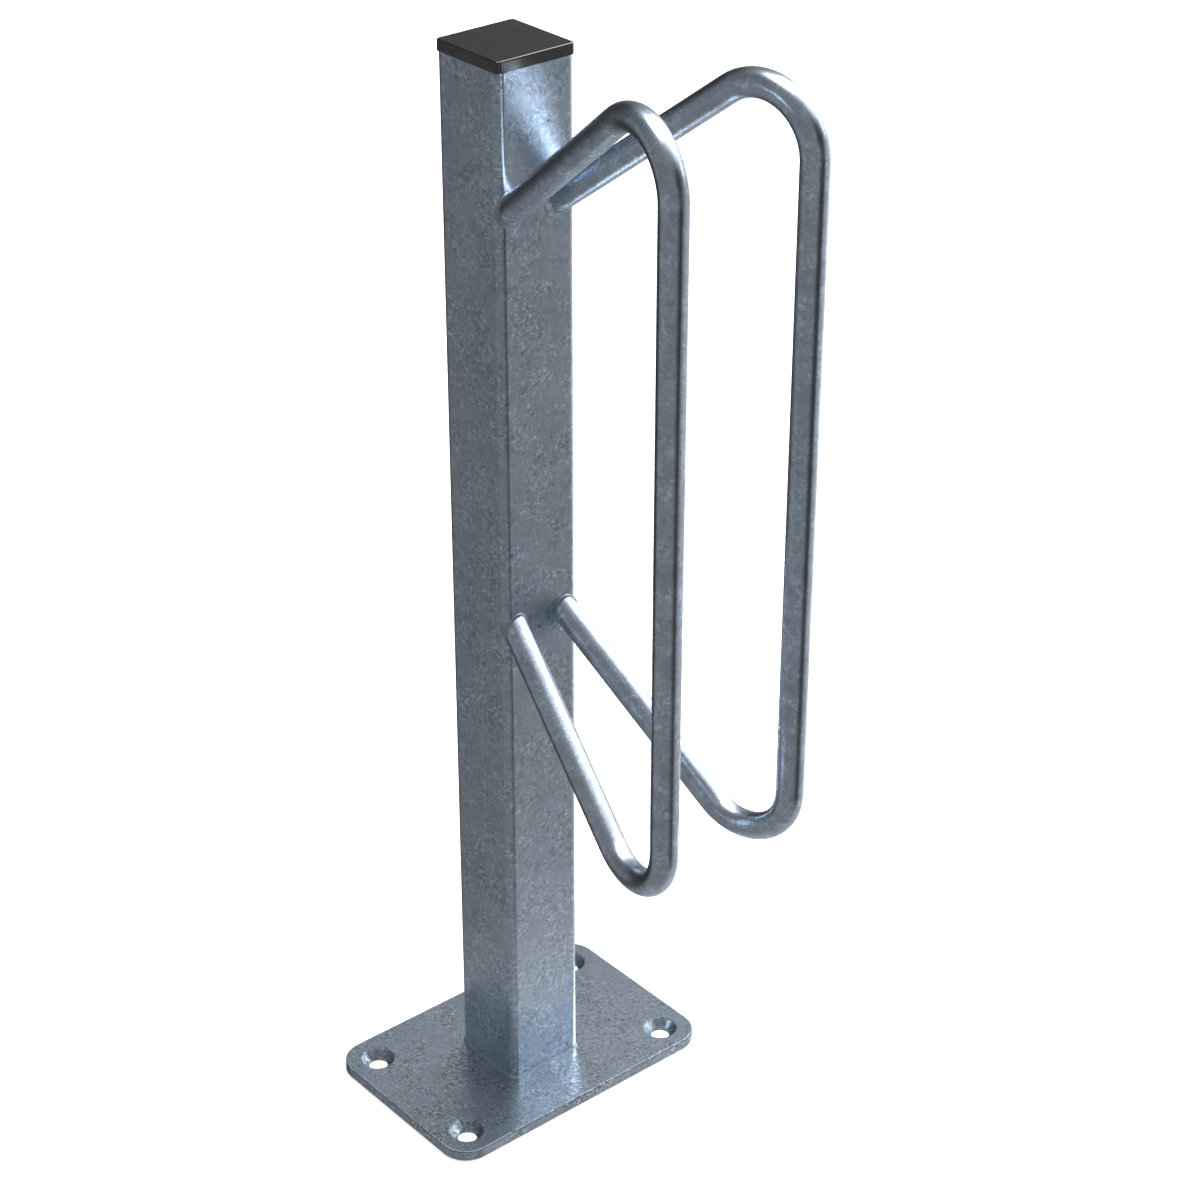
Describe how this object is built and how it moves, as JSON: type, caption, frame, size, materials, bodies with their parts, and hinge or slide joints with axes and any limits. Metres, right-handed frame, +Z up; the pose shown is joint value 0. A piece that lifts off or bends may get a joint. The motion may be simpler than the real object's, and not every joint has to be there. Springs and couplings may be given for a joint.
{
  "type": "bike parking stand",
  "caption": "Galvanised bike parking stand: a square post on a bolt-down base plate, with splayed tube hoops that hold a wheel between them.",
  "frame": {"origin": "centre of the base plate's underside, on the post's axis and in the middle of the four anchor holes", "axes": "+Z up along the post, +X across the wheel from the left hoop to the right hoop, -Y out from the post's front face towards the side where the wheel comes in"},
  "size_m": [0.225, 0.2982, 0.7834],
  "materials": {
    "galvanised_plate": "hot-dip galvanised, satin",
    "galvanised_post": "hot-dip galvanised, mottled satin",
    "cap_plastic": "satin black, moulded",
    "galvanised_tube": "hot-dip galvanised, smooth satin",
    "galvanised_weld": "hot-dip galvanised weld bead"
  },
  "bodies": {
    "root": {"base_plate": "galvanised_plate", "post": "galvanised_post", "end_cap": "cap_plastic", "hoop_left": "galvanised_tube", "hoop_right": "galvanised_tube", "foot_weld": "galvanised_weld", "weld_left_upper": "galvanised_weld", "weld_left_lower": "galvanised_weld", "weld_right_upper": "galvanised_weld", "weld_right_lower": "galvanised_weld"}
  },
  "joints": []
}
